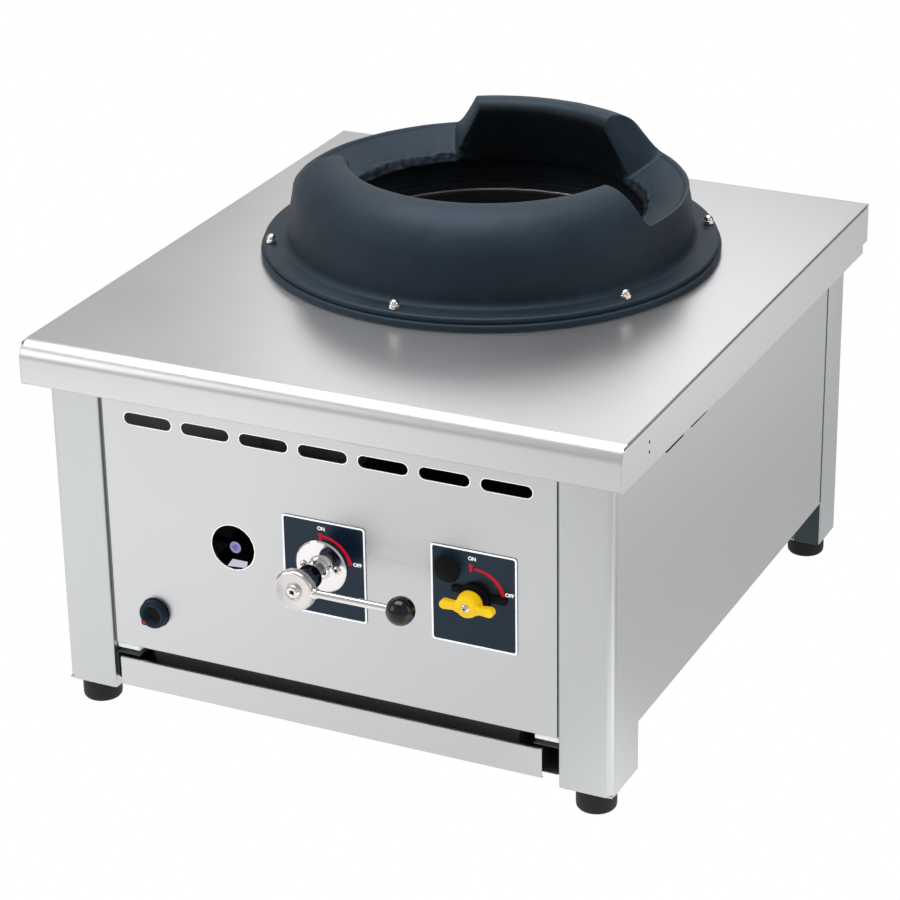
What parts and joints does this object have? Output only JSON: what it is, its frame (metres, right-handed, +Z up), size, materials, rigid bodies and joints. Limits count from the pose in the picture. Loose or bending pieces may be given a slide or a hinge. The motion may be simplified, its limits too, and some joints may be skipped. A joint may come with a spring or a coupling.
{
  "type": "wok range",
  "caption": "Countertop gas wok range with a cast iron wok ring and windshield, jet burner, lever valve, butterfly valve, pilot tap and slide-out drip tray in a steel body.",
  "frame": {"origin": "on the floor, under the middle of the whole range's bounding box with the lever at rest", "axes": "+X to the right seen from the controls, +Y from the controls to the back, +Z up"},
  "size_m": [0.6, 0.7006, 0.485],
  "materials": {
    "brushed_steel": "brushed stainless steel sheet, 1.5 mm",
    "zinc_steel": "zinc plated steel, dull",
    "cast_iron": "raw cast iron, blue-grey, fine sand texture",
    "chrome": "bright chrome plating",
    "brass": "machined brass",
    "copper": "soft copper tube",
    "ceramic": "glazed white ceramic",
    "rubber": "black moulded rubber",
    "black_plastic": "black phenolic, polished",
    "yellow_vinyl": "yellow vinyl dip on steel",
    "plate_navy": "dark blue printed plate, satin",
    "black_enamel": "black vitreous enamel"
  },
  "bodies": {
    "range_body": {"worktop": "brushed_steel", "side_panel_left": "brushed_steel", "side_panel_right": "brushed_steel", "rear_leg_left": "brushed_steel", "rear_leg_right": "brushed_steel", "front_panel": "brushed_steel", "rear_panel": "brushed_steel", "valve_bracket": "brushed_steel", "burner_bowl": "zinc_steel", "burner_support": "zinc_steel", "supply_pipe": "zinc_steel", "link_pipe": "zinc_steel", "pilot_bracket": "zinc_steel", "lighting_tube": "zinc_steel", "runner_left": "zinc_steel", "runner_right": "zinc_steel", "wok_ring": "cast_iron", "ring_base": "cast_iron", "burner_base": "cast_iron", "burner_cap": "cast_iron", "venturi_tube": "cast_iron", "ring_nut_1": "chrome", "ring_nut_2": "chrome", "ring_nut_3": "chrome", "ring_nut_4": "chrome", "ring_nut_5": "chrome", "ring_nut_6": "chrome", "escutcheon": "chrome", "escutcheon_screw_left": "chrome", "escutcheon_screw_right": "chrome", "injector": "brass", "main_valve_body": "brass", "ball_valve_body": "brass", "gas_inlet": "brass", "pilot_tap_body": "brass", "pilot_burner": "brass", "pilot_tube": "copper", "pilot_supply_tube": "copper", "pilot_electrode": "ceramic", "foot_front_left": "rubber", "foot_front_right": "rubber", "foot_rear_left": "rubber", "foot_rear_right": "rubber", "hole_plug": "black_plastic", "valve_collar": "black_plastic", "control_plate_left": "plate_navy", "control_plate_right": "plate_navy"},
    "main_lever": {"main_valve_stem": "zinc_steel", "lever_hub": "chrome", "lever_rod": "chrome", "lever_ball": "black_plastic", "lever_cap_nut": "chrome"},
    "gas_handle": {"ball_valve_stem": "zinc_steel", "valve_handle": "yellow_vinyl", "valve_handle_screw": "chrome"},
    "pilot_plug": {"pilot_rotor": "brass"},
    "pilot_control": {"pilot_knob": "black_plastic"},
    "drip_tray": {"tray_drawer": "brushed_steel", "tray_pan": "black_enamel"}
  },
  "joints": [
    {"name": "lever_turn", "type": "hinge", "parent": "range_body", "child": "main_lever", "pos_m": [-0.004, -0.33675, 0.199], "axis": [0, -1, 0], "range_deg": [0, 90]},
    {"name": "gas_handle_turn", "type": "hinge", "parent": "range_body", "child": "gas_handle", "pos_m": [0.1505, -0.30175, 0.198], "axis": [0, -1, 0], "range_deg": [0, 90]},
    {"name": "pilot_turn", "type": "hinge", "parent": "range_body", "child": "pilot_plug", "pos_m": [-0.185, -0.25475, 0.113], "axis": [0, -1, 0], "range_deg": [0, 90]},
    {"name": "pilot_press", "type": "slide", "parent": "pilot_plug", "child": "pilot_control", "axis": [0, 1, 0], "range_m": [0, 0.004], "stiffness_N_per_m": 400, "springref_m": -0.002},
    {"name": "tray_slide", "type": "slide", "parent": "range_body", "child": "drip_tray", "axis": [0, -1, 0], "range_m": [0, 0.42]}
  ]
}
